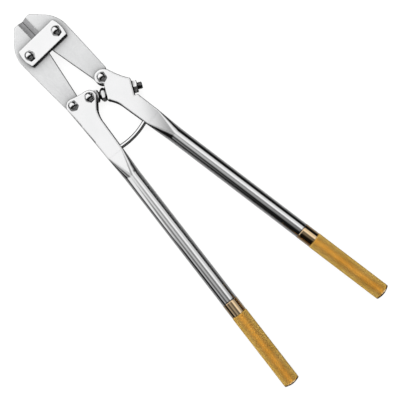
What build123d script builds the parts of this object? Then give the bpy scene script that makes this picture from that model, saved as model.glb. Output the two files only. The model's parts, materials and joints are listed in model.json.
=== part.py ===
from build123d import *
import math
import os

# Double-action bolt cutters with a centre-cut nose, lying flat and closed.
# +Y points along the tool to the nose, +X to the adjuster's side, +Z up.
# The origin is under the middle of the tool, on the surface that it lies on. Millimetres.

os.makedirs("parts", exist_ok=True)

# ---- Thicknesses, all about the mid-plane of the moving parts
bolt_head_height = 4.0
link_thickness = 5.0
running_gap = 0.3
jaw_half = 5.0
head_half = 8.6
link_inner = jaw_half + running_gap
link_outer = link_inner + link_thickness
mid_z = bolt_head_height + link_outer

# ---- Pivots
head_axis_x = -9.05
pivot_line_y = 201.9
jaw_pivot_offset = 18.9
right_pivot = (head_axis_x + jaw_pivot_offset, pivot_line_y)
left_pivot = (head_axis_x - jaw_pivot_offset, pivot_line_y)
right_tail = (10.6, 134.7)
left_tail = (-31.5, 133.5)
handle_pivot = (-13.1, 128.3)

# ---- Pivot bolts and cap nuts (M6 thread on an 8 mm shank)
shank_radius = 4.0
thread_radius = 3.0
running_bore = shank_radius + 0.05
loose_bore = shank_radius + 1.5
nut_across_flats = 10.0
nut_hex_height = 4.4
nut_height = 8.0
nut_dome_radius = 4.6
nut_dome_middle = (3.3, 6.95)
nut_chamfer = 0.6
nut_bore_depth = 5.0
nut_turn = {"right_jaw": 12, "left_jaw": -4, "right_tail": 20, "left_tail": 28, "handle_pivot": 2}

# ---- Jaws
nose_y = 235.3
nose_half_width = 10.7
shoulder_start = (21.2, 224.4)
shoulder_middle = (28.5, 214.1)
shoulder_end = (31.5, 201.0)
jaw_outer_end = (30.2, 141.0)
jaw_inner_end = (12.2, 140.5)
crotch_y = 200.6
mating_relief = 0.5
tail_radius = 7.6
tail_shoulder_angle = math.radians(15)
jaw_edge_round = 0.5

# ---- Hard-metal cutting inserts, brazed to the jaws
insert_width = 5.0
insert_length = 26.0
insert_half_height = 4.3
edge_half_height = 0.15
edge_gap = 0.01
bevel_run_out = 2.4
seat_overrun = 1.0

# ---- Link plates
link_half_width = 26.5
link_corner_half_width = 24.4
link_height = 21.6
link_centre_y = pivot_line_y + 0.4
link_corner_round = 1.0
link_edge_round = 0.4
bottom_link_trim = 2.6

# ---- Handles: forged flat heads that turn into round rods
rod_radius = 8.6
rod_corner_radius = rod_radius - 0.1
rod_lean = {"left": math.radians(6.2), "right": math.radians(8.8)}
rod_foot = {"left": (-34.4, 67.0), "right": (20.55, 67.0)}
head_end_width = 18.8
head_edge_round = 0.8
foot_step = 0.04
tongue_length = 28.0
grip_start = 195.0
spigot_radius = 6.0
spigot_length = 96.0
foot_overlap = 2.0
ear_root_gap = 0.6
slot_root = tail_radius + ear_root_gap

# ---- Left head's outline
tail_ear_radius = 7.6
tail_ear_end_angle = 65
pivot_ear_radius = 7.7
pivot_ear_start_angle = 80
pivot_ear_end_angle = -42
left_back = (-41.3, 99.9)
left_shoulder = (-39.1, 133.5)
left_throat_top = (-16.3, 113.0)
left_throat_middle = (-19.3, 106.3)
left_throat_end = (-20.6, 99.2)

# ---- Right head's outline; the flats' ends are steps across the eye bolt's axis
right_throat_end = (5.9, 95.5)
right_throat_middle = (3.5, 104.8)
inner_flat_low = -7.6
inner_flat_high = 9.6
right_ear_side = (2.9, 134.9)
right_ear_top = (11.5, 142.6)
right_shoulder = (21.4, 134.5)
right_back = (31.4, 113.6)
outer_flat_high = 7.0
outer_flat_low = -9.6
right_heel = (25.9, 95.4)

# ---- Grips: a smooth collar, then a barrel
collar_radius = 8.8
collar_length = 16.0
barrel_radius = 9.1
grip_length = 108.8
grip_dome = 2.4
grip_edge_round = 0.8
barrel_step = 0.5
same_radius = 0.01

# ---- Adjuster: an eye bolt from the handle pivot, held in the right head by two nuts
bolt_lean = math.radians(-29.5)
eye_radius = 6.9
eye_neck_half_width = 6.3
shoulder_across_flats = 11.0
shoulder_start_at = 8.4
shoulder_length = 3.6
eye_thread_radius = 4.0
eye_bolt_end = 56.4
inner_flat_at = 18.0
outer_flat_at = 46.5
big_nut_across_flats = 13.0
big_nut_chamfer = 1.0
flat_up_turn = 30.0
outer_nut_turn = -33.0
inner_nut_height = 4.4
outer_nut_height = 4.8
washer_radius = 7.4
washer_thickness = 1.2
bore_overrun = 3.0

# ---- Guide rod: an arc about the handle pivot, then a flatter arc into the right head
guide_radius = 60.3
guide_flat_radius = 72.8
guide_rod_radius = 2.5
guide_bore_radius = guide_rod_radius + running_gap
guide_left_end = -114.0
guide_bend = -101.5
guide_right_end = -67.0
guide_bore_lead = 1.0
guide_bore_arc = 22.0
guide_seat_arc = 12.0

# ---- The outside of a fork's slot, well clear of the heads
slot_top_y = 160.0
left_slot_outer_x = -60.0
left_slot_inner_x = 20.0
slot_reach = 40.0
right_slot_x = (-10.0, 50.0)


bolt_direction = (math.cos(bolt_lean), math.sin(bolt_lean), 0)


def round_point(centre, radius, angle):
    """A point on a circle, at an angle in degrees."""
    turn = math.radians(angle)
    return (centre[0] + radius * math.cos(turn), centre[1] + radius * math.sin(turn))


def along_bolt(distance, across=0.0):
    """A point on the eye bolt's axis, at a distance from the handle pivot and a step to its left."""
    ahead = bolt_direction
    return (
        handle_pivot[0] + distance * ahead[0] - across * ahead[1],
        handle_pivot[1] + distance * ahead[1] + across * ahead[0],
    )


def bolt_plane(distance):
    """The plane square to the eye bolt's axis."""
    return Plane(origin=(*along_bolt(distance), mid_z), x_dir=(0, 0, 1), z_dir=bolt_direction)


def rod_direction(side):
    """The way a handle's rod runs, from the head to the grip."""
    sign = 1 if side == "right" else -1
    return (sign * math.sin(rod_lean[side]), -math.cos(rod_lean[side]), 0)


def rod_plane(side, distance):
    """The plane square to a rod, at a distance from the foot of its head."""
    ahead = rod_direction(side)
    x, y = rod_foot[side]
    origin = (x + distance * ahead[0], y + distance * ahead[1], mid_z)
    return Plane(origin=origin, x_dir=(-ahead[1], ahead[0], 0), z_dir=ahead)


def foot_corner(side, across):
    """A corner of a head's foot, where the flat head ends and the transition to the rod starts."""
    ahead = rod_direction(side)
    x, y = rod_foot[side]
    return (x - across * ahead[1], y + across * ahead[0])


def jaw_point(sign, out, y):
    """A point of the right jaw (sign 1) or the left jaw (-1), at a distance out from the head's axis."""
    return (head_axis_x + sign * out, y)


bend_point = round_point(handle_pivot, guide_radius, guide_bend)
flat_centre = round_point(bend_point, guide_flat_radius, guide_bend + 180)


def guide_plane(centre, radius, angle):
    """The plane square to an arc, at an angle in degrees about the arc's centre."""
    turn = math.radians(angle)
    out = (math.cos(turn), math.sin(turn), 0)
    return Plane(origin=(*round_point(centre, radius, angle), mid_z), x_dir=out, z_dir=(-out[1], out[0], 0))


handle_axis = Axis((*handle_pivot, mid_z), (0, 0, 1))
flat_axis = Axis((*flat_centre, mid_z), (0, 0, 1))
mid_plane = Plane.XY.offset(mid_z)
shank_places = {"left": (left_tail, handle_pivot), "right": (right_tail,)}

# ---- Jaws and their cutting inserts
for side, sign, pivot, tail, pivot_bore in (
    ("right", 1, right_pivot, right_tail, running_bore),
    ("left", -1, left_pivot, left_tail, loose_bore),
):
    tail_out = abs(tail[0] - head_axis_x)
    tail_side = tail_radius * math.cos(tail_shoulder_angle)
    tail_low = tail[1] - tail_radius * math.sin(tail_shoulder_angle)
    nose_inner = jaw_point(sign, mating_relief, nose_y)
    nose_outer = jaw_point(sign, nose_half_width, nose_y)
    bend_start = jaw_point(sign, *shoulder_start)
    bend_end = jaw_point(sign, *shoulder_end)
    tail_outer = jaw_point(sign, tail_out + tail_side, tail_low)
    tail_inner = jaw_point(sign, tail_out - tail_side, tail_low)

    with BuildPart() as jaw:
        with BuildSketch(mid_plane):
            with BuildLine():
                Polyline(nose_inner, nose_outer, bend_start)
                ThreePointArc(bend_start, jaw_point(sign, *shoulder_middle), bend_end)
                Polyline(bend_end, jaw_point(sign, *jaw_outer_end), tail_outer)
                ThreePointArc(tail_outer, jaw_point(sign, tail_out, tail[1] - tail_radius), tail_inner)
                Line(tail_inner, jaw_point(sign, *jaw_inner_end))
                Line(jaw_point(sign, *jaw_inner_end), jaw_point(sign, mating_relief, crotch_y))
                Line(jaw_point(sign, mating_relief, crotch_y), nose_inner)
            make_face()
        extrude(amount=jaw_half, both=True)
        fillet(jaw.faces().filter_by(Axis.Z).edges(), radius=jaw_edge_round)
        # Seat of the insert, and the run-out of its bevel into both faces of the jaw
        with BuildSketch(Plane.XZ.offset(-nose_y - seat_overrun)):
            with Locations((head_axis_x + sign * insert_width / 2, mid_z)):
                Rectangle(insert_width, 4 * jaw_half)
            for up in (1, -1):
                with BuildLine():
                    Polyline(
                        jaw_point(sign, insert_width, mid_z + up * insert_half_height),
                        jaw_point(sign, insert_width + bevel_run_out, mid_z + up * jaw_half),
                        jaw_point(sign, insert_width + bevel_run_out, mid_z + up * 2 * jaw_half),
                        jaw_point(sign, insert_width, mid_z + up * 2 * jaw_half),
                        close=True,
                    )
                make_face()
        extrude(amount=insert_length + seat_overrun, mode=Mode.SUBTRACT)
        with BuildSketch(mid_plane):
            with Locations(pivot):
                Circle(pivot_bore)
            with Locations(tail):
                Circle(running_bore)
        extrude(amount=2 * jaw_half, both=True, mode=Mode.SUBTRACT)
    jaw.part.label = f"{side}_jaw"
    export_step(jaw.part, f"parts/{side}_jaw.step")

    with BuildPart() as insert:
        with BuildSketch(Plane.XZ.offset(-nose_y)):
            with BuildLine():
                Polyline(
                    jaw_point(sign, edge_gap, mid_z - edge_half_height),
                    jaw_point(sign, insert_width, mid_z - insert_half_height),
                    jaw_point(sign, insert_width, mid_z + insert_half_height),
                    jaw_point(sign, edge_gap, mid_z + edge_half_height),
                    close=True,
                )
            make_face()
        extrude(amount=insert_length)
    insert.part.label = f"{side}_cutting_insert"
    export_step(insert.part, f"parts/{side}_cutting_insert.step")

# ---- Link plates over and under the jaws
link_front = link_centre_y + link_height / 2
link_rear = link_centre_y - link_height / 2
for name, low, rear in (
    ("top_link_plate", mid_z + link_inner, link_rear),
    ("bottom_link_plate", mid_z - link_outer, link_rear + bottom_link_trim),
):
    with BuildPart() as link:
        with BuildSketch(Plane.XY.offset(low)):
            with BuildLine():
                right_front = (head_axis_x + link_corner_half_width, link_front)
                right_rear = (head_axis_x + link_corner_half_width, rear)
                left_front = (head_axis_x - link_corner_half_width, link_front)
                left_rear = (head_axis_x - link_corner_half_width, rear)
                Line(left_front, right_front)
                ThreePointArc(right_front, (head_axis_x + link_half_width, link_centre_y), right_rear)
                Line(right_rear, left_rear)
                ThreePointArc(left_rear, (head_axis_x - link_half_width, link_centre_y), left_front)
            make_face()
        extrude(amount=link_thickness)
        fillet(link.edges().filter_by(Axis.Z), radius=link_corner_round)
        fillet(link.faces().filter_by(Axis.Z).edges(), radius=link_edge_round)
        with BuildSketch(Plane.XY.offset(low)):
            with Locations(right_pivot, left_pivot):
                Circle(shank_radius)
        extrude(amount=link_thickness, mode=Mode.SUBTRACT)
    link.part.label = name
    export_step(link.part, f"parts/{name}.step")

# ---- Handles: a fork for each jaw's tail, and a head that turns into a rod with a spigot for the grip
for side in ("left", "right"):
    with BuildPart() as handle:
        with BuildSketch(mid_plane):
            with BuildLine():
                start_foot = foot_corner(side, -head_end_width / 2)
                end_foot = foot_corner(side, head_end_width / 2)
                if side == "left":
                    # From the outer edge round the tail's ear and the handle pivot's ear to the throat
                    tail_ear_end = round_point(left_tail, tail_ear_radius, tail_ear_end_angle)
                    pivot_ear_start = round_point(handle_pivot, pivot_ear_radius, pivot_ear_start_angle)
                    pivot_ear_end = round_point(handle_pivot, pivot_ear_radius, pivot_ear_end_angle)
                    outer_edge = ThreePointArc(start_foot, left_back, left_shoulder)
                    tail_ear = TangentArc(left_shoulder, tail_ear_end, tangent=outer_edge % 1)
                    saddle = TangentArc(tail_ear_end, pivot_ear_start, tangent=tail_ear % 1)
                    TangentArc(pivot_ear_start, pivot_ear_end, tangent=saddle % 1)
                    Line(pivot_ear_end, left_throat_top)
                    ThreePointArc(left_throat_top, left_throat_middle, left_throat_end)
                    Line(left_throat_end, end_foot)
                else:
                    # From the throat round the inner flat, the tail's ear and the outer flat to the heel
                    inner_low = along_bolt(inner_flat_at, inner_flat_low)
                    inner_high = along_bolt(inner_flat_at, inner_flat_high)
                    outer_high = along_bolt(outer_flat_at, outer_flat_high)
                    outer_low = along_bolt(outer_flat_at, outer_flat_low)
                    Line(start_foot, right_throat_end)
                    ThreePointArc(right_throat_end, right_throat_middle, inner_low)
                    Line(inner_low, inner_high)
                    ear = ThreePointArc(inner_high, right_ear_side, right_ear_top)
                    ear_shoulder = TangentArc(right_ear_top, right_shoulder, tangent=ear % 1)
                    TangentArc(right_shoulder, right_back, tangent=ear_shoulder % 1)
                    Polyline(right_back, outer_high, outer_low, right_heel, end_foot)
                Line(end_foot, start_foot)
            make_face()
        extrude(amount=head_half, both=True)
        rounded_from = rod_foot[side][1] + foot_overlap
        flat_edges = handle.faces().filter_by(Axis.Z).edges()
        fillet(flat_edges.filter_by(lambda edge: edge.center().Y > rounded_from), radius=head_edge_round)
        with BuildSketch(rod_plane(side, 0)):
            RectangleRounded(head_end_width - foot_step, 2 * head_half - foot_step, head_edge_round)
        with BuildSketch(rod_plane(side, tongue_length)):
            RectangleRounded(2 * rod_radius, 2 * rod_radius, rod_corner_radius)
        loft()
        # The rod's circle is drawn as a fully rounded square, so that it lines up with the transition
        with BuildSketch(rod_plane(side, tongue_length)):
            RectangleRounded(2 * rod_radius, 2 * rod_radius, rod_corner_radius)
        extrude(amount=grip_start - tongue_length)
        with BuildSketch(rod_plane(side, grip_start)):
            Circle(spigot_radius)
        extrude(amount=spigot_length)
        # The fork's slot, open to the top of the head and to both sides
        with BuildSketch(mid_plane):
            with BuildLine():
                if side == "left":
                    Polyline(
                        (left_slot_outer_x, left_tail[1] - slot_root),
                        (left_tail[0], left_tail[1] - slot_root),
                        along_bolt(-foot_overlap, -eye_neck_half_width - ear_root_gap),
                        along_bolt(slot_reach, -eye_neck_half_width - ear_root_gap),
                        (left_slot_inner_x, slot_top_y),
                        (left_slot_outer_x, slot_top_y),
                        close=True,
                    )
                else:
                    Polyline(
                        (right_slot_x[0], right_tail[1] - slot_root),
                        (right_slot_x[1], right_tail[1] - slot_root),
                        (right_slot_x[1], slot_top_y),
                        (right_slot_x[0], slot_top_y),
                        close=True,
                    )
            make_face()
            if side == "left":
                with Locations(left_tail):
                    Circle(slot_root)
                with Locations(handle_pivot):
                    Circle(eye_radius + ear_root_gap)
        extrude(amount=link_inner, both=True, mode=Mode.SUBTRACT)
        with BuildSketch(mid_plane):
            with Locations(*shank_places[side]):
                Circle(shank_radius)
        extrude(amount=2 * head_half, both=True, mode=Mode.SUBTRACT)
        if side == "left":
            # Curved bore that the guide rod slides into
            with BuildSketch(guide_plane(handle_pivot, guide_radius, guide_left_end - guide_bore_lead)):
                Circle(guide_bore_radius)
            revolve(axis=handle_axis, revolution_arc=guide_bore_arc, mode=Mode.SUBTRACT)
        else:
            # Bore for the eye bolt, from flat to flat, and the seat of the guide rod
            with BuildSketch(bolt_plane(inner_flat_at - bore_overrun)):
                Circle(eye_thread_radius)
            extrude(amount=outer_flat_at - inner_flat_at + 2 * bore_overrun, mode=Mode.SUBTRACT)
            with BuildSketch(guide_plane(flat_centre, guide_flat_radius, guide_right_end - guide_seat_arc)):
                Circle(guide_rod_radius)
            revolve(axis=flat_axis, revolution_arc=guide_seat_arc, mode=Mode.SUBTRACT)
    handle.part.label = f"{side}_handle"
    export_step(handle.part, f"parts/{side}_handle.step")

# ---- Grips, screwed on the rods' spigots
for side in ("left", "right"):
    ahead = rod_direction(side)
    start = rod_plane(side, grip_start).origin
    with BuildPart() as grip:
        with BuildSketch(Plane(origin=start, x_dir=ahead, z_dir=(0, 0, 1))):
            with BuildLine():
                Polyline(
                    (spigot_length, 0),
                    (spigot_length, spigot_radius),
                    (0, spigot_radius),
                    (0, collar_radius),
                    (collar_length, collar_radius),
                    (collar_length + barrel_step, barrel_radius),
                    (grip_length - grip_dome, barrel_radius),
                )
                dome_radius = (barrel_radius**2 + grip_dome**2) / (2 * grip_dome)
                dome_sweep = math.degrees(math.asin(barrel_radius / dome_radius))
                CenterArc((grip_length - dome_radius, 0), dome_radius, start_angle=0, arc_size=dome_sweep)
                Line((grip_length, 0), (spigot_length, 0))
            make_face()
        revolve(axis=Axis(start, ahead))
        circles = grip.edges().filter_by(GeomType.CIRCLE)
        barrel_edges = circles.filter_by(lambda edge: abs(edge.radius - barrel_radius) < same_radius)
        fillet(barrel_edges.sort_by(Axis.Y)[0], radius=grip_edge_round)
    grip.part.label = f"{side}_grip"
    export_step(grip.part, f"parts/{side}_grip.step")

# ---- Pivot bolts with their cap nuts
nut_corner = nut_across_flats / math.sqrt(3)
for name, centre, half_stack in (
    ("right_jaw", right_pivot, link_outer),
    ("left_jaw", left_pivot, link_outer),
    ("right_tail", right_tail, head_half),
    ("left_tail", left_tail, head_half),
    ("handle_pivot", handle_pivot, head_half),
):
    with BuildPart() as bolt:
        with BuildSketch(Plane.XY.offset(mid_z - half_stack)):
            with Locations(centre):
                RegularPolygon(nut_across_flats / 2, 6, major_radius=False, rotation=nut_turn[name])
        extrude(amount=-bolt_head_height)
        with BuildSketch(Plane.XY.offset(mid_z - half_stack)):
            with Locations(centre):
                Circle(shank_radius)
        extrude(amount=2 * half_stack)
        with BuildSketch(Plane.XY.offset(mid_z + half_stack)):
            with Locations(centre):
                Circle(thread_radius)
        extrude(amount=nut_bore_depth)
    bolt.part.label = f"{name}_bolt"
    export_step(bolt.part, f"parts/{name}_bolt.step")

    with BuildPart() as cap_nut:
        with BuildSketch(Plane.XY.offset(mid_z + half_stack)):
            with Locations(centre):
                RegularPolygon(nut_across_flats / 2, 6, major_radius=False, rotation=nut_turn[name])
        extrude(amount=nut_height)
        # Turned outside: a chamfered foot, the hexagon's chamfered shoulder and the dome
        with BuildSketch(Plane(origin=(*centre, mid_z + half_stack), x_dir=(1, 0, 0), z_dir=(0, -1, 0))):
            with BuildLine():
                Polyline(
                    (0, nut_height),
                    (0, 0),
                    (nut_corner - nut_chamfer, 0),
                    (nut_corner, nut_chamfer / 2),
                    (nut_corner, nut_hex_height - nut_chamfer),
                    (nut_dome_radius, nut_hex_height),
                )
                ThreePointArc((nut_dome_radius, nut_hex_height), nut_dome_middle, (0, nut_height))
            make_face()
        revolve(axis=Axis((*centre, mid_z), (0, 0, 1)), mode=Mode.INTERSECT)
        with BuildSketch(Plane.XY.offset(mid_z + half_stack)):
            with Locations(centre):
                Circle(thread_radius)
        extrude(amount=nut_bore_depth, mode=Mode.SUBTRACT)
    cap_nut.part.label = f"{name}_cap_nut"
    export_step(cap_nut.part, f"parts/{name}_cap_nut.step")

# ---- Adjuster
with BuildPart() as eye_bolt:
    with BuildSketch(mid_plane):
        with Locations(handle_pivot):
            Circle(eye_radius)
        with BuildLine():
            Polyline(
                along_bolt(0, -eye_neck_half_width),
                along_bolt(shoulder_start_at, -eye_neck_half_width),
                along_bolt(shoulder_start_at, eye_neck_half_width),
                along_bolt(0, eye_neck_half_width),
                close=True,
            )
        make_face()
    extrude(amount=jaw_half, both=True)
    # A hexagonal shoulder that a wrench holds while the nuts are set
    with BuildSketch(bolt_plane(shoulder_start_at)):
        RegularPolygon(shoulder_across_flats / 2, 6, major_radius=False, rotation=flat_up_turn)
    extrude(amount=shoulder_length)
    with BuildSketch(bolt_plane(shoulder_start_at + shoulder_length)):
        Circle(eye_thread_radius)
    extrude(amount=eye_bolt_end - shoulder_start_at - shoulder_length)
    with BuildSketch(mid_plane):
        with Locations(handle_pivot):
            Circle(running_bore)
    extrude(amount=2 * jaw_half, both=True, mode=Mode.SUBTRACT)
eye_bolt.part.label = "eye_bolt"
export_step(eye_bolt.part, "parts/eye_bolt.step")

big_corner = big_nut_across_flats / math.sqrt(3)
for name, start_at, height, turn in (
    ("inner_adjusting_nut", inner_flat_at - washer_thickness - inner_nut_height, inner_nut_height, 0),
    ("outer_lock_nut", outer_flat_at, outer_nut_height, outer_nut_turn),
):
    with BuildPart() as big_nut:
        with BuildSketch(bolt_plane(start_at)):
            RegularPolygon(big_nut_across_flats / 2, 6, major_radius=False, rotation=flat_up_turn + turn)
        extrude(amount=height)
        # Both faces turned to a chamfer, which rounds the hexagon's corners
        with BuildSketch(Plane(origin=(*along_bolt(start_at), mid_z), x_dir=bolt_direction, z_dir=(0, 0, 1))):
            with BuildLine():
                Polyline(
                    (0, 0),
                    (0, big_corner - big_nut_chamfer),
                    (big_nut_chamfer / 2, big_corner),
                    (height - big_nut_chamfer / 2, big_corner),
                    (height, big_corner - big_nut_chamfer),
                    (height, 0),
                    close=True,
                )
            make_face()
        revolve(axis=Axis((*along_bolt(0), mid_z), bolt_direction), mode=Mode.INTERSECT)
        with BuildSketch(bolt_plane(start_at)):
            Circle(eye_thread_radius)
        extrude(amount=height, mode=Mode.SUBTRACT)
    big_nut.part.label = name
    export_step(big_nut.part, f"parts/{name}.step")

with BuildPart() as washer:
    with BuildSketch(bolt_plane(inner_flat_at - washer_thickness)):
        Circle(washer_radius)
        Circle(eye_thread_radius, mode=Mode.SUBTRACT)
    extrude(amount=washer_thickness)
washer.part.label = "adjusting_washer"
export_step(washer.part, "parts/adjusting_washer.step")

# ---- Guide rod between the handles
with BuildPart() as guide_rod:
    with BuildSketch(guide_plane(handle_pivot, guide_radius, guide_left_end)):
        Circle(guide_rod_radius)
    revolve(axis=handle_axis, revolution_arc=guide_bend - guide_left_end)
    with BuildSketch(guide_plane(flat_centre, guide_flat_radius, guide_bend)):
        Circle(guide_rod_radius)
    revolve(axis=flat_axis, revolution_arc=guide_right_end - guide_bend)
guide_rod.part.label = "guide_rod"
export_step(guide_rod.part, "parts/guide_rod.step")
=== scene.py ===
import json
import math

import bmesh
import bpy
import numpy as np
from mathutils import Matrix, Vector


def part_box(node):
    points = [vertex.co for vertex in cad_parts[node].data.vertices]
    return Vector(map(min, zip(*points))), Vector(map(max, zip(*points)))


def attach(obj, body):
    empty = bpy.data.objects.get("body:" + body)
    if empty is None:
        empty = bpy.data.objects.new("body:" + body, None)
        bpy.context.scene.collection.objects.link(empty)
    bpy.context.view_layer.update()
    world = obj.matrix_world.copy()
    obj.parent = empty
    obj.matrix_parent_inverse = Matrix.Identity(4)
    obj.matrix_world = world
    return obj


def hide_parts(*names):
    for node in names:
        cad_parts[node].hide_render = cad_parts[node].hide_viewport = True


# Bolt cutters lying on a pale table, looked at from straight above. Metres.
# +Y points along the tool to the nose, +X to the adjuster's side, +Z up.

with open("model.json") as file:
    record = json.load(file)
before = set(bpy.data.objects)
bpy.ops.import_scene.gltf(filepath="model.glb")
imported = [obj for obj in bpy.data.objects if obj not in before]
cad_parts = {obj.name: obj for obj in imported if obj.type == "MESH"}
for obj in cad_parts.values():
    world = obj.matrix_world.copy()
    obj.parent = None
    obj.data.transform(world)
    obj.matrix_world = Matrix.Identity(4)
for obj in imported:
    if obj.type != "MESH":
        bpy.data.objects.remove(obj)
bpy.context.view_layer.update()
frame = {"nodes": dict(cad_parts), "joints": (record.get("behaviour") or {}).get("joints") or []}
MM = 0.001
UP = Vector((0, 0, 1))
nodes = frame["nodes"]


# ---------------------------------------------------------------- small node helpers
class Tree:
    """A node tree that is built from short expressions."""

    def __init__(self, tree):
        self.tree = tree
        tree.nodes.clear()

    def node(self, kind, inputs=None, **settings):
        made = self.tree.nodes.new(kind)
        for key, value in settings.items():
            setattr(made, key, value)
        for key, value in (inputs or {}).items():
            self.put(made.inputs[key], value)
        return made

    def put(self, socket, value):
        if isinstance(value, bpy.types.NodeSocket):
            self.tree.links.new(value, socket)
        else:
            socket.default_value = value

    def math(self, operation, a, b=0.0, c=0.0, clamp=False):
        made = self.tree.nodes.new("ShaderNodeMath")
        made.operation = operation
        made.use_clamp = clamp
        for socket, value in zip(made.inputs, (a, b, c)):
            self.put(socket, value)
        return made.outputs[0]

    def times(self, first, *others):
        """The product of all its values."""
        for other in others:
            first = self.math("MULTIPLY", first, other)
        return first

    def less(self, value):
        """1 less a value."""
        return self.math("SUBTRACT", 1.0, value)

    def step(self, value, low, high):
        """0 below low, 1 above high, smooth in between."""
        made = self.node("ShaderNodeMapRange", interpolation_type="SMOOTHSTEP")
        for key, number in (("Value", value), ("From Min", low), ("From Max", high)):
            self.put(made.inputs[key], number)
        return made.outputs["Result"]

    def band(self, value, low, high, soft):
        """1 between low and high, 0 outside, with soft edges."""
        rise = self.step(value, low - soft, low + soft)
        fall = self.step(value, high - soft, high + soft)
        return self.math("SUBTRACT", rise, fall)

    def mix(self, share, a, b):
        """A number between a and b."""
        made = self.node("ShaderNodeMix", data_type="FLOAT")
        for index, value in ((0, share), (2, a), (3, b)):
            self.put(made.inputs[index], value)
        return made.outputs[0]

    def mix_color(self, share, a, b):
        """A colour between a and b."""
        made = self.node("ShaderNodeMix", data_type="RGBA")
        for index, value in ((0, share), (6, a), (7, b)):
            self.put(made.inputs[index], value)
        return made.outputs[2]


def grey(value):
    return (value, value, value, 1.0)


# ---------------------------------------------------------------- materials
GRAIN_DETAIL, GRAIN_ROUGHNESS = 6.0, 0.6
STAIN_SCALE, STAIN_DETAIL, STAIN_LOW, STAIN_HIGH = 55.0, 3.0, 0.35, 0.75
ROUGHNESS_SPREAD = 0.8      # the grain's share in the roughness
RELIEF_STRENGTH = 0.25
SIDE_SHADE_FADE = 25 * MM        # the length over which a side's painted shade fades in
GAP_SHADE_CORE = 0.3             # the share of the painted gap shade that has its full colour
# How strongly occlusion darkens a corner, and the colour of that painted shade
CREVICE_SHADE_GAIN, CREVICE_SHADE_COLOR = 2.6, grey(0.05)
SHADE_SAMPLES = 8           # rays of a Bevel or Ambient Occlusion node

ALONG_Y, ALONG_X = (900, 60, 900), (60, 900, 900)    # the way that a fine grain runs
WHOLE_TOOL = -1.0           # a start for the painted side shade that leaves nothing out
HEADS_START = 45 * MM       # where the handles' flat heads begin along Y


def metal(name, color, dark, roughness, grain_scale, bump, spread=0.3, metallic=1.0,
          edge=0.0, side_shade=None, crevice_shade=None, rim=None, gap_shade=None):
    """Polished or satin metal: fine directional grain, soft stains and softened edges.

    edge is the radius that worn edges are rounded to. side_shade = (colour, low, high, start) is
    painted shade and painted dark reflection: faces whose upright share is under low..high take
    the darker colour, from the place start along Y onwards. crevice_shade = (distance, share) is
    painted shade that darkens corners and faces near other parts. rim is the metal's colour at a
    glancing angle. gap_shade = (place along X, half width, colour) is a dark line along Y, painted
    shade where two parts meet."""
    made = bpy.data.materials.new(name)
    made.use_nodes = True
    t = Tree(made.node_tree)
    place = t.node("ShaderNodeTexCoord").outputs["Object"]
    turned = t.node("ShaderNodeMapping", {"Vector": place})
    turned.inputs["Scale"].default_value = grain_scale
    grain = t.node("ShaderNodeTexNoise", {
        "Vector": turned.outputs[0], "Scale": 1.0, "Detail": GRAIN_DETAIL,
        "Roughness": GRAIN_ROUGHNESS}).outputs["Fac"]
    cloud = t.node("ShaderNodeTexNoise", {
        "Vector": place, "Scale": STAIN_SCALE, "Detail": STAIN_DETAIL}).outputs["Fac"]
    stain = t.step(cloud, STAIN_LOW, STAIN_HIGH)
    uneven = t.math("SUBTRACT", grain, 0.5)
    base = t.mix_color(t.math("MULTIPLY_ADD", uneven, spread, stain, clamp=True), color, dark)
    rough = t.math("MULTIPLY_ADD", uneven, roughness * ROUGHNESS_SPREAD, roughness)
    relief = t.node("ShaderNodeBump", {
        "Height": grain, "Strength": RELIEF_STRENGTH, "Distance": bump})
    across, down = t.node("ShaderNodeSeparateXYZ", {"Vector": place}).outputs[:2]
    if edge:
        facing = t.node("ShaderNodeBevel", {"Radius": edge}, samples=SHADE_SAMPLES).outputs[0]
        t.put(relief.inputs["Normal"], facing)
    else:
        facing = t.node("ShaderNodeTexCoord").outputs["Normal"]
    # Painted shade and painted dark reflection: faces that aren't upright are coloured darker
    if side_shade:
        shade_color, low, high, start = side_shade
        upright = t.node("ShaderNodeSeparateXYZ", {"Vector": facing}).outputs[2]
        side = t.less(t.step(t.math("ABSOLUTE", upright), low, high))
        side = t.times(side, t.step(down, start, start + SIDE_SHADE_FADE))
        base = t.mix_color(side, base, shade_color)
    # Painted shade: a dark line where two parts meet
    if gap_shade:
        middle, half, gap_shade_color = gap_shade
        apart = t.math("ABSOLUTE", t.math("SUBTRACT", across, middle))
        base = t.mix_color(t.step(apart, GAP_SHADE_CORE * half, half), gap_shade_color, base)
    # Painted shade: corners and faces near other parts are darkened by occlusion
    if crevice_shade:
        distance, share = crevice_shade
        open_share = t.node("ShaderNodeAmbientOcclusion", {"Distance": distance},
                            samples=SHADE_SAMPLES).outputs["AO"]
        crevice_shade_mask = t.math("MULTIPLY", t.less(open_share), CREVICE_SHADE_GAIN, clamp=True)
        base = t.mix_color(t.times(crevice_shade_mask, share), base, CREVICE_SHADE_COLOR)
    shader = t.node("ShaderNodeBsdfPrincipled", {
        "Base Color": base, "Roughness": rough, "Metallic": metallic,
        "Normal": relief.outputs[0]})
    if rim:
        shader.inputs["Specular Tint"].default_value = rim
    out = t.node("ShaderNodeOutputMaterial")
    t.tree.links.new(shader.outputs[0], out.inputs[0])
    return made


# The heads' side faces and edges are painted darker, standing in for dark reflection and shade
steel = metal("polished_steel", color=(0.94, 0.94, 0.945, 1), dark=(0.91, 0.915, 0.92, 1),
              roughness=0.05, grain_scale=ALONG_Y, bump=0.005 * MM, spread=0.2,
              edge=2.4 * MM, side_shade=(grey(0.2), 0.65, 0.95, HEADS_START))
rod_steel = metal("rod_steel", color=(0.94, 0.94, 0.945, 1), dark=(0.9, 0.905, 0.91, 1),
                  roughness=0.05, grain_scale=ALONG_Y, bump=0.005 * MM, spread=0.2)
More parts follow.
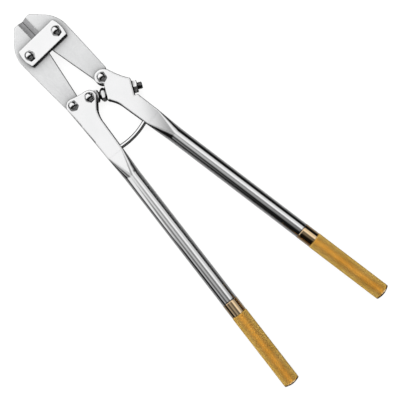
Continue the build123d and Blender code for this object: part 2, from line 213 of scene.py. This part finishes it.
# The link plates' side faces are painted nearly black, standing in for dark reflection and shade
link_steel = metal("link_steel", color=(0.97, 0.97, 0.975, 1), dark=(0.94, 0.94, 0.945, 1),
                   roughness=0.07, grain_scale=ALONG_X, bump=0.005 * MM, spread=0.2,
                   edge=1.8 * MM, side_shade=(grey(0.06), 0.7, 0.96, WHOLE_TOOL))
# The jaws' side faces are painted darker, and painted shade darkens them near the link plates and
# ears
jaw_steel = metal("jaw_steel", color=(0.9, 0.905, 0.91, 1), dark=(0.86, 0.865, 0.87, 1),
                  roughness=0.22, grain_scale=(500, 90, 500), bump=0.01 * MM, spread=0.15,
                  edge=1.8 * MM, side_shade=(grey(0.35), 0.6, 0.92, WHOLE_TOOL), crevice_shade=(30 * MM, 0.6))
# A dark line of painted shade runs where the two inserts meet
meeting = (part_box("left_cutting_insert")[1].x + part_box("right_cutting_insert")[0].x) / 2
hard_metal = metal("hard_metal", color=(0.4, 0.4, 0.405, 1), dark=(0.34, 0.34, 0.345, 1),
                   roughness=0.38, grain_scale=ALONG_Y, bump=0.02 * MM, metallic=0.78,
                   gap_shade=(meeting, 0.7 * MM, grey(0.12)))
# Painted shade darkens the bolt's groove and the nuts' feet
bolt_steel = metal("bolt_steel", color=(0.93, 0.93, 0.935, 1), dark=(0.86, 0.865, 0.87, 1),
                   roughness=0.06, grain_scale=(500, 500, 500), bump=0.01 * MM,
                   crevice_shade=(4 * MM, 0.8))
# The grips' sides are painted brown, standing in for the dark reflection they show
gold = metal("gold_plate", color=(1.0, 0.69, 0.19, 1), dark=(0.93, 0.6, 0.13, 1),
             roughness=0.55, grain_scale=(700, 700, 700), bump=0.01 * MM, metallic=0.93,
             side_shade=((0.3, 0.1, 0.015, 1), 0.15, 0.62, WHOLE_TOOL), rim=(0.9, 0.55, 0.12, 1))
gold_polish = metal("gold_polish", color=(1.0, 0.76, 0.48, 1), dark=(0.97, 0.7, 0.42, 1),
                    roughness=0.05, grain_scale=(500, 60, 500), bump=0.01 * MM)


# ---------------------------------------------------------------- mesh helpers
def mesh_piece(name, rings, faces, material, sharp):
    """A smooth-shaded piece in the row frame, its edges sharp above an angle in degrees."""
    data = bpy.data.meshes.new(name)
    data.from_pydata([tuple(p) for ring in rings for p in ring], [], faces)
    made = bmesh.new()
    made.from_mesh(data)
    bmesh.ops.recalc_face_normals(made, faces=made.faces)
    made.to_mesh(data)
    made.free()
    data.shade_smooth()
    data.set_sharp_from_angle(angle=math.radians(sharp))
    data.materials.append(material)
    piece = bpy.data.objects.new(name, data)
    bpy.context.scene.collection.objects.link(piece)
    return piece


def ring_faces(count, rows, first=0, loop=False):
    """Quads that join each ring of points to the next."""
    faces = []
    for j in range(rows if loop else rows - 1):
        a, b = first + j * count, first + (j + 1) % rows * count
        faces += [(a + i, a + (i + 1) % count, b + (i + 1) % count, b + i) for i in range(count)]
    return faces


def cap_face(count, first=0):
    """One flat face over a ring."""
    return tuple(range(first, first + count))


def fan_faces(count, first, tip):
    """Triangles that join a ring to a point."""
    return [(first + i, first + (i + 1) % count, tip) for i in range(count)]


class Turned:
    """Rings about an axis: a place along it, and a radius at each angle."""

    def __init__(self, origin, axis, up, angles):
        self.origin, self.axis = Vector(origin), Vector(axis).normalized()
        self.up = Vector(up).normalized()
        self.side = self.axis.cross(self.up)
        self.angles = angles

    def point(self, place, angle, radius):
        around = (self.up * math.cos(angle) + self.side * math.sin(angle)) * radius
        return self.origin + self.axis * place + around

    def ring(self, place, radius):
        """Both may be one number or one for each angle."""
        count = len(self.angles)
        places = np.broadcast_to(place, count)
        radii = np.broadcast_to(radius, count)
        return [self.point(float(p), t, float(r)) for t, p, r in zip(self.angles, places, radii)]


def turn_angles(count):
    """Angles that divide a full turn evenly."""
    return np.arange(count) * 2 * math.pi / count


def hexagon(angles, apothem, corner):
    """The radius of a hexagon at each angle, with its corners turned off at the corner radius."""
    wrapped = (angles + math.pi / 6) % (math.pi / 3) - math.pi / 6
    return np.minimum(apothem / np.cos(wrapped), corner)


def dome(radius, height):
    """The ball that a dome is cut from: its radius, and the angle from its top to the rim."""
    ball = (radius**2 + height**2) / (2 * height)
    return ball, math.asin(radius / ball)


# ---------------------------------------------------------------- cap nuts
NUT_POINTS = turn_angles(96)
CHAMFER_SLOPE = math.tan(math.radians(30))
CAP_HEX_HEIGHT, CAP_APOTHEM, CAP_CORNER = 4.4 * MM, 5.0 * MM, 5.7 * MM
CAP_FOOT, CAP_SHOULDER, CAP_NECK = 4.85 * MM, 4.8 * MM, 4.6 * MM
DOME_RINGS = 16
# Each nut's body, and how far its corners are turned, in degrees
CAP_NUTS = {
    "right_jaw": ("links", 12), "left_jaw": ("links", -4), "right_tail": ("right_handle", 20),
    "left_tail": ("left_handle", 28), "handle_pivot": ("left_handle", 2),
}


def cap_nut(name, body, corner_turn):
    """An acorn nut: chamfered hexagon, a turned neck and a round dome."""
    node = f"{name}_cap_nut"
    low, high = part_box(node)
    centre = (low + high) / 2
    turn = math.radians(corner_turn + 30)
    t = Turned((centre.x, centre.y, low.z), UP, (math.cos(turn), math.sin(turn), 0), NUT_POINTS)
    height = high.z - low.z
    sides = hexagon(NUT_POINTS, CAP_APOTHEM, CAP_CORNER)
    top_drop = np.maximum(sides - CAP_SHOULDER, 0) * CHAMFER_SLOPE
    rings = [
        t.ring(0, np.minimum(sides, CAP_FOOT)),
        t.ring(np.maximum(sides - CAP_FOOT, 0) * CHAMFER_SLOPE, sides),
        t.ring(CAP_HEX_HEIGHT - top_drop, sides),
        t.ring(CAP_HEX_HEIGHT, np.minimum(sides, CAP_SHOULDER)),
        t.ring(CAP_HEX_HEIGHT, CAP_NECK),
    ]
    ball, widest = dome(CAP_NECK, height - CAP_HEX_HEIGHT)
    for k in range(1, DOME_RINGS):
        lean = widest * (1 - k / DOME_RINGS)
        rings.append(t.ring(height - ball + ball * math.cos(lean), ball * math.sin(lean)))
    count, last = len(NUT_POINTS), len(rings) - 1
    faces = ring_faces(count, len(rings)) + [cap_face(count)]
    faces += fan_faces(count, last * count, len(rings) * count)
    rings.append([t.origin + t.axis * height])
    piece = mesh_piece(f"acorn_nut_{name}", rings, faces, bolt_steel, sharp=30.0)
    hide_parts(node)
    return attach(piece, body)


for name, (body, corner_turn) in CAP_NUTS.items():
    cap_nut(name, body, corner_turn)

# ---------------------------------------------------------------- adjuster
BOLT_LEAN = math.radians(-29.5)
bolt_way = Vector((math.cos(BOLT_LEAN), math.sin(BOLT_LEAN), 0))
bolt_side = Vector((-bolt_way.y, bolt_way.x, 0))
pivot = Vector(next(j for j in frame["joints"] if j["name"] == "handle_fold")["pos_m"])

THREAD_PITCH, THREAD_RADIUS, THREAD_DEPTH = 1.25 * MM, 4.0 * MM, 0.68 * MM
THREAD_STEPS = 8                        # rings to one turn of the thread
TOOTH_SLOPE, TOOTH_FLAT = 1.25, 0.12    # how steep its flanks are, and its flat crest
END_CHAMFER = 0.9 * MM
SHOULDER_START, SHOULDER_LENGTH, SHOULDER_SOFT = 8.4 * MM, 1.0 * MM, (0.25 * MM, 0.3 * MM)
SHOULDER_APOTHEM, SHOULDER_CORNER = 5.5 * MM, 6.2 * MM
GROOVE_AT, GROOVE_RADIUS = 10.5 * MM, 3.6 * MM
LIP_AT, LIP_RADIUS, LIP_LAND = 12.3 * MM, 6.2 * MM, 0.2 * MM

EYE_RADIUS, EYE_BORE, EYE_HALF, EYE_SOFT = 6.9 * MM, 4.05 * MM, 5.0 * MM, 0.5 * MM
EYE_NECK, EYE_REACH = 6.3 * MM, 8.7 * MM    # the block's half width, and how far it goes forwards
EYE_FLAT_FROM = -0.42 * EYE_RADIUS          # in front of this the eye is no wider than the block
EYE_STEPS, EYE_SOFT_STEPS = 48, 4

BIG_NUT_APOTHEM, BIG_NUT_SOFT = 6.5 * MM, 0.35 * MM
BIG_NUT_BORE, BORE_CHAMFER = THREAD_RADIUS - 0.1 * MM, 0.5 * MM
WASHER_RADIUS, WASHER_BORE = 7.4 * MM, THREAD_RADIUS + 0.1 * MM
WASHER_LAND, WASHER_DROP = 0.15 * MM, 1.0 * MM


def along(node):
    """The lowest and highest place of a CAD node along the eye bolt's axis."""
    places = [(v.co - pivot).dot(bolt_way) for v in nodes[node].data.vertices]
    return min(places), max(places)


def threaded_bolt():
    """The hexagonal shoulder, a turned groove in front of the nut, and the threaded shank."""
    t = Turned(pivot, bolt_way, UP, turn_angles(48))
    sides = hexagon(t.angles, SHOULDER_APOTHEM, SHOULDER_CORNER)
    soft_length, soft_depth = SHOULDER_SOFT
    rings = [
        t.ring(SHOULDER_START, THREAD_RADIUS), t.ring(SHOULDER_START, sides - soft_depth),
        t.ring(SHOULDER_START + soft_length, sides),
        t.ring(SHOULDER_START + SHOULDER_LENGTH, sides),
        t.ring(GROOVE_AT, GROOVE_RADIUS),
        t.ring(LIP_AT - LIP_LAND, LIP_RADIUS), t.ring(LIP_AT, LIP_RADIUS),
        t.ring(LIP_AT, THREAD_RADIUS),
    ]
    end = along("eye_bolt")[1]
    steps = int((end - LIP_AT) / THREAD_PITCH * THREAD_STEPS)
    for k in range(steps + 1):
        place = LIP_AT + (end - LIP_AT) * k / steps
        phase = (place / THREAD_PITCH - t.angles / (2 * math.pi)) % 1.0
        tooth = np.clip(TOOTH_SLOPE * np.abs(2 * phase - 1) - TOOTH_FLAT, 0, 1)
        limit = min(THREAD_RADIUS, THREAD_RADIUS - END_CHAMFER + (end - place))
        rings.append(t.ring(place, np.minimum(THREAD_RADIUS - THREAD_DEPTH * tooth, limit)))
    count = len(t.angles)
    caps = [cap_face(count), cap_face(count, (len(rings) - 1) * count)]
    return rings, ring_faces(count, len(rings)) + caps


def eye_block():
    """The flat eye in the left fork, with its bore and rounded edges."""
    outline = []
    for k in range(EYE_STEPS + 1):
        angle = math.pi / 2 + math.pi * k / EYE_STEPS
        x, y = EYE_RADIUS * math.cos(angle), EYE_RADIUS * math.sin(angle)
        outline.append((x, max(min(y, EYE_NECK), -EYE_NECK) if x > EYE_FLAT_FROM else y))
    outline += [(EYE_REACH * share, -EYE_NECK) for share in (0.3, 0.6, 1.0)]
    outline += [(EYE_REACH * share, EYE_NECK) for share in (1.0, 0.6, 0.3)]

    def level(shrink, height):
        """The outline drawn in by shrink, at a height from the mid-plane."""
        ring = []
        for x, y in outline:
            keep = 1 - shrink / math.hypot(x, y)
            ring.append(pivot + bolt_way * x * keep + bolt_side * y * keep + UP * height)
        return ring

    def bore(height):
        """The bore's edge, with one point for each of the outline's."""
        angles = [math.atan2(y, x) for x, y in outline]
        return [pivot + (bolt_way * math.cos(a) + bolt_side * math.sin(a)) * EYE_BORE
                + UP * height for a in angles]

    leans = [math.pi / 2 * k / EYE_SOFT_STEPS for k in range(EYE_SOFT_STEPS + 1)]
    lower = [level(EYE_SOFT * (1 - math.sin(lean)), EYE_SOFT * (1 - math.cos(lean)) - EYE_HALF)
             for lean in leans]
    upper = [level(EYE_SOFT * (1 - math.cos(lean)), EYE_HALF - EYE_SOFT * (1 - math.sin(lean)))
             for lean in leans]
    rings = [bore(-EYE_HALF)] + lower + upper + [bore(EYE_HALF)]
    return rings, ring_faces(len(outline), len(rings), loop=True)


def adjuster_piece(name, node, rings, faces, sharp):
    """A piece on the eye bolt's axis that stands for a CAD node of the right handle."""
    piece = mesh_piece(name, rings, faces, bolt_steel, sharp)
    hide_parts(node)
    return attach(piece, "right_handle")


def hex_nut(name, node, corner_turn):
    """A thin nut on the eye bolt, chamfered on both faces, with a countersunk bore."""
    low, high = along(node)
    turn = math.radians(corner_turn)
    up = UP * math.cos(turn) + bolt_side * math.sin(turn)
    t = Turned(pivot, bolt_way, up, NUT_POINTS)
    sides = hexagon(NUT_POINTS, BIG_NUT_APOTHEM, BIG_NUT_APOTHEM / math.cos(math.pi / 6))
    drop = BIG_NUT_SOFT + np.maximum(sides - BIG_NUT_APOTHEM, 0) * CHAMFER_SLOPE
    face = np.minimum(sides, BIG_NUT_APOTHEM) - BIG_NUT_SOFT
    rings = [
        t.ring(low + BORE_CHAMFER, BIG_NUT_BORE), t.ring(low, BIG_NUT_BORE + BORE_CHAMFER),
        t.ring(low, face), t.ring(low + drop, sides), t.ring(high - drop, sides),
        t.ring(high, face),
        t.ring(high, BIG_NUT_BORE + BORE_CHAMFER), t.ring(high - BORE_CHAMFER, BIG_NUT_BORE),
    ]
    faces = ring_faces(len(NUT_POINTS), len(rings), loop=True)
    return adjuster_piece(name, node, rings, faces, sharp=28.0)


def thick_washer(name, node):
    """A turned washer whose rim is two cones and a narrow land."""
    low, high = along(node)
    t = Turned(pivot, bolt_way, UP, NUT_POINTS)
    middle = (high + low) / 2
    rings = [
        t.ring(high, WASHER_BORE), t.ring(low, WASHER_BORE),
        t.ring(low, WASHER_RADIUS - WASHER_DROP),
        t.ring(middle - WASHER_LAND, WASHER_RADIUS), t.ring(middle + WASHER_LAND, WASHER_RADIUS),
        t.ring(high, WASHER_RADIUS - WASHER_DROP),
    ]
    faces = ring_faces(len(NUT_POINTS), len(rings), loop=True)
    return adjuster_piece(name, node, rings, faces, sharp=25.0)


bolt_rings, bolt_faces = threaded_bolt()
eye_rings, eye_faces = eye_block()
bolt_points = sum(len(ring) for ring in bolt_rings)
eye_faces = [tuple(i + bolt_points for i in face) for face in eye_faces]
adjuster_piece("threaded_eye_bolt", "eye_bolt", bolt_rings + eye_rings, bolt_faces + eye_faces,
               sharp=35.0)
hex_nut("thin_nut_inner", "inner_adjusting_nut", 0)
thick_washer("turned_washer", "adjusting_washer")
hex_nut("thin_nut_outer", "outer_lock_nut", 24)

# ---------------------------------------------------------------- grips
# The foot of each rod's axis in millimetres, and how far it leans in degrees
ROD = {"left": ((-34.4, 67.0), -6.2), "right": ((20.55, 67.0), 8.8)}
GRIP_START, GRIP_LENGTH, GRIP_DOME = 195.0 * MM, 108.8 * MM, 2.4 * MM
COLLAR_LENGTH, COLLAR_RADIUS, BARREL_RADIUS = 16.0 * MM, 8.8 * MM, 9.04 * MM
COLLAR_SOFT = 0.12 * MM
KNURL_AROUND, KNURL_STEP, KNURL_DEPTH = 48, 0.8 * MM, 0.42 * MM
KNURL_TOP = 0.34            # the flat top's share of a diamond
KNURL_LEAD = 0.4 * MM       # from the collar to the first valley
END_LAND = 1.0 * MM         # the smooth band after the knurl
END_EDGE, END_SQUASH, END_EDGE_STEPS = 0.8 * MM, 0.6, 6
END_DOME_STEPS, END_DOME_SHARE = 8, 0.93


def grip_end(t, start, root):
    """The smooth band after the knurl, its rounded edge and the slightly domed end."""
    band = start + END_LAND
    rings = [t.ring(start, root), t.ring(start + 0.3 * MM, BARREL_RADIUS - 0.1 * MM),
             t.ring(band, BARREL_RADIUS)]
    for k in range(1, END_EDGE_STEPS):
        lean = math.pi / 2 * k / END_EDGE_STEPS
        rings.append(t.ring(band + END_EDGE * math.sin(lean) * END_SQUASH,
                            BARREL_RADIUS - END_EDGE * END_SQUASH * (1 - math.cos(lean))))
    ball, widest = dome(BARREL_RADIUS, GRIP_DOME)
    for k in range(1, END_DOME_STEPS):
        lean = widest * (1 - k / END_DOME_STEPS) * END_DOME_SHARE
        rings.append(t.ring(GRIP_LENGTH - ball + ball * math.cos(lean), ball * math.sin(lean)))
    return rings


def knurled_grip(side):
    """A smooth collar, a barrel of truncated diamonds, and a rounded end."""
    (foot_x, foot_y), degrees = ROD[side]
    way = Vector((math.sin(math.radians(degrees)), -math.cos(math.radians(degrees)), 0))
    mid = sum(v.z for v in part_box(f"{side}_grip")) / 2
    start = Vector((foot_x * MM, foot_y * MM, mid)) + way * GRIP_START
    around = 2 * KNURL_AROUND
    t = Turned(start, way, UP, turn_angles(around))
    root = BARREL_RADIUS - KNURL_DEPTH
    first = COLLAR_LENGTH + KNURL_LEAD
    last = GRIP_LENGTH - GRIP_DOME - END_LAND
    rows = int((last - first) / KNURL_STEP)
    step = (last - first) / rows

    collar = [
        t.ring(0, COLLAR_RADIUS - 0.4 * MM), t.ring(0.1 * MM, COLLAR_RADIUS - COLLAR_SOFT),
        t.ring(0.35 * MM, COLLAR_RADIUS), t.ring(COLLAR_LENGTH - COLLAR_SOFT, COLLAR_RADIUS),
        t.ring(COLLAR_LENGTH, COLLAR_RADIUS - COLLAR_SOFT), t.ring(first, root),
    ]
    points = [p for ring in collar for p in ring]
    smooth_faces = ring_faces(around, len(collar)) + [cap_face(around)]
    before = (len(collar) - 1) * around    # the ring that the knurl starts from

    # The knurl's valley points: each row is half a diamond on from the one before
    valley = {}
    for j in range(1, rows):
        for k in range(j % 2, around, 2):
            valley[j, k] = len(points)
            points.append(t.point(first + j * step, t.angles[k], root))

    after = len(points)                    # the ring that the knurl ends at
    end = grip_end(t, last, root)
    points += [p for ring in end for p in ring]
    smooth_faces += ring_faces(around, len(end), first=after)
    smooth_faces += fan_faces(around, after + (len(end) - 1) * around, len(points))
    points.append(t.origin + t.axis * GRIP_LENGTH)

    def at(j, k):
        """The point of row j at the angle k."""
        k %= around
        if j == 0:
            return before + k
        return after + k if j == rows else valley[j, k]

    knurl_faces = []
    for j in range(rows + 1):
        for c in range(1 - j % 2, around, 2):
            if j in (0, rows):
                # Half a diamond at each end of the knurl lies flat
                inner = at(1 if j == 0 else rows - 1, c)
                knurl_faces += [(at(j, c - 1), at(j, c), inner), (at(j, c), at(j, c + 1), inner)]
                continue
            corners = [(j, c - 1), (j - 1, c), (j, c + 1), (j + 1, c)]
            top = len(points)
            for row, column in corners:
                place = first + (j + (row - j) * KNURL_TOP) * step
                angle = t.angles[c] + (column - c) * KNURL_TOP * math.pi / KNURL_AROUND
                points.append(t.point(place, angle, BARREL_RADIUS))
            for m in range(4):
                n = (m + 1) % 4
                knurl_faces.append((at(*corners[m]), at(*corners[n]), top + n, top + m))
            knurl_faces.append((top, top + 1, top + 2, top + 3))

    piece = mesh_piece(f"knurled_grip_{side}", [points], smooth_faces + knurl_faces, gold,
                       sharp=20.0)
    piece.data.materials.append(gold_polish)
    for polygon in piece.data.polygons[:len(smooth_faces)]:
        polygon.material_index = 1
    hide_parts(f"{side}_grip")
    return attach(piece, f"{side}_handle")


for side in ROD:
    knurled_grip(side)

# ---------------------------------------------------------------- CAD nodes that stay
looks = {
    "left_handle": steel, "right_handle": steel, "guide_rod": rod_steel,
    "top_link_plate": link_steel, "bottom_link_plate": link_steel,
    "left_jaw": jaw_steel, "right_jaw": jaw_steel,
    "left_cutting_insert": hard_metal, "right_cutting_insert": hard_metal,
}
for name, thing in nodes.items():
    thing.data.materials.clear()
    thing.data.materials.append(looks.get(name, bolt_steel))

# ---------------------------------------------------------------- floor
FLOOR_SIZE, FLOOR_GLOW = 12.0, 0.84

bpy.ops.mesh.primitive_plane_add(size=FLOOR_SIZE, location=(0, 0, 0))
floor = bpy.context.object
floor.name = "floor"
paper = bpy.data.materials.new("pale_floor")
paper.use_nodes = True
paper_shader = paper.node_tree.nodes["Principled BSDF"]
paper_shader.inputs["Base Color"].default_value = grey(0.1)
paper_shader.inputs["Roughness"].default_value = 0.9
paper_shader.inputs["Specular IOR Level"].default_value = 0.0
paper_shader.inputs["Emission Color"].default_value = grey(1.0)    # a table lit from below
paper_shader.inputs["Emission Strength"].default_value = FLOOR_GLOW
floor.data.materials.append(paper)
floor.visible_glossy = False

# ---------------------------------------------------------------- studio
# The World is the studio. A direction is read as its place on a mirror ball that is looked at
# from above: bx to the right and by towards the nose, with the horizon 0.707 from the middle.
DARKEST = 0.006             # what the studio's walls send back
TABLE_LIGHT = 0.3
BELOW = 0.0004              # keeps the direction straight down from dividing by nothing

world = bpy.data.worlds.new("studio")
bpy.context.scene.world = world
world.use_nodes = True
w = Tree(world.node_tree)
way = w.node("ShaderNodeSeparateXYZ", {0: w.node("ShaderNodeTexCoord").outputs["Generated"]})
dx, dy, dz = way.outputs
squeeze = w.math("SQRT", w.math("MAXIMUM", w.math("MULTIPLY_ADD", dz, 2.0, 2.0), BELOW))
bx = w.math("DIVIDE", dx, squeeze)
by = w.math("DIVIDE", dy, squeeze)
radius = w.math("SQRT", w.math("ADD", w.times(bx, bx), w.times(by, by)))


def leaning(slant):
    """A place across the ball whose lines lean instead of running straight to the nose."""
    return w.math("MULTIPLY_ADD", by, slant, bx)


def light_box(across, left, right, soft, start, full, strength):
    """A light from left to right that fades in towards the nose, from start to full."""
    return w.times(w.band(across, left, right, soft), w.step(by, start, full), strength)


def top_light():
    """A narrow light over the middle of the nose's side, with a leaning right edge."""
    across = w.math("SUBTRACT", w.step(bx, -0.06, -0.04), w.step(leaning(-0.6), -0.024, 0.002))
    return w.times(w.math("MULTIPLY", w.step(by, 0.018, 0.036), across, clamp=True), 0.95)


def near_strip():
    """A strip overhead that fades towards the grips, with a dim line down its middle."""
    fade = w.math("MULTIPLY_ADD", by, 5.0, 0.52, clamp=True)
    dim_line = w.times(w.band(bx, -0.05, 0.05, 0.03), 0.6)
    return w.times(w.band(bx, -0.27, 0.12, 0.05), fade, w.less(dim_line))


def left_card():
    """A bright card to the left, in front of the softbox."""
    return w.times(w.band(by, 0.058, 0.11, 0.008), w.less(w.step(bx, -0.2, -0.1)), 0.85)


def table():
    """The table under the tool. It shows to the sides, and is shaded ahead and behind."""
    near_edge = w.mix(w.step(bx, -0.1, 0.1), radius, w.math("SUBTRACT", radius, 0.01))
    shown = w.math("SUBTRACT", w.step(near_edge, 0.74, 0.92), w.step(radius, 0.97, 0.99))
    aside = w.step(w.math("ABSOLUTE", bx), 0.25, 0.5)
    behind = w.times(w.step(w.times(by, -1.0), 0.3, 0.6), 0.5)
    return w.times(shown, aside, w.less(w.step(by, 0.3, 0.5)), w.less(behind))


right_strength = w.mix(w.step(bx, 0.3, 0.36), 0.9, 0.64)
lights = [
    light_box(leaning(0.45), left=-0.6, right=0.52, soft=0.04, start=0.045, full=0.16,
              strength=1.04),                  # the main softbox, over the nose's side
    light_box(leaning(0.45), left=0.11, right=0.515, soft=0.025, start=-0.16, full=-0.07,
              strength=right_strength),        # the strip on the right
    light_box(bx, left=-0.6, right=-0.46, soft=0.03, start=-0.13, full=0.11,
              strength=0.7),                   # the far strip on the left
    light_box(bx, left=-0.5, right=-0.2, soft=0.08, start=-0.1, full=0.12,
              strength=0.3),                   # a weak fill between it and the near strip
    top_light(), near_strip(), left_card(),
    w.times(w.less(w.step(by, -0.5, -0.4)), 0.14),    # a weak softbox behind the grips
]
brightest = lights[0]
for other in lights[1:]:
    brightest = w.math("MAXIMUM", brightest, other)
sky = w.less(w.step(radius, 0.66, 0.71))       # the lights end just above the horizon
light = w.math("MULTIPLY_ADD", brightest, sky, DARKEST)
light = w.math("MULTIPLY_ADD", table(), TABLE_LIGHT, light)
background = w.node("ShaderNodeBackground", {"Color": grey(1.0), "Strength": light})
w.tree.links.new(background.outputs[0], w.node("ShaderNodeOutputWorld").inputs[0])

LAMP_SIZE, LAMP_POWER, LAMP_PLACE = 1.6, 60.0, (0.0, 0.15, 1.3)

lamp_data = bpy.data.lights.new("overhead", "AREA")
lamp_data.shape = "SQUARE"
lamp_data.size = LAMP_SIZE
lamp_data.energy = LAMP_POWER
lamp = bpy.data.objects.new("overhead", lamp_data)
lamp.location = LAMP_PLACE
lamp.visible_glossy = False
lamp.visible_camera = False
bpy.context.scene.collection.objects.link(lamp)

# ---------------------------------------------------------------- camera
VIEW_CENTRE, VIEW_TURN, VIEW_WIDTH = (-4.2 * MM, -28.7 * MM), -43.9, 0.42
CAMERA_HEIGHT, SENSOR_WIDTH, CLIP_END = 1.03, 36.0, 20.0

mid_z = sum(v.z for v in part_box("left_grip")) / 2
camera_data = bpy.data.cameras.new("camera")
camera_data.sensor_width = SENSOR_WIDTH
camera_data.lens = SENSOR_WIDTH * CAMERA_HEIGHT / VIEW_WIDTH
camera_data.clip_end = CLIP_END
camera = bpy.data.objects.new("camera", camera_data)
camera.location = (*VIEW_CENTRE, mid_z + CAMERA_HEIGHT)
camera.rotation_euler = (0, 0, math.radians(VIEW_TURN))
bpy.context.scene.collection.objects.link(camera)
bpy.context.scene.camera = camera
bpy.context.scene.view_settings.view_transform = "Standard"
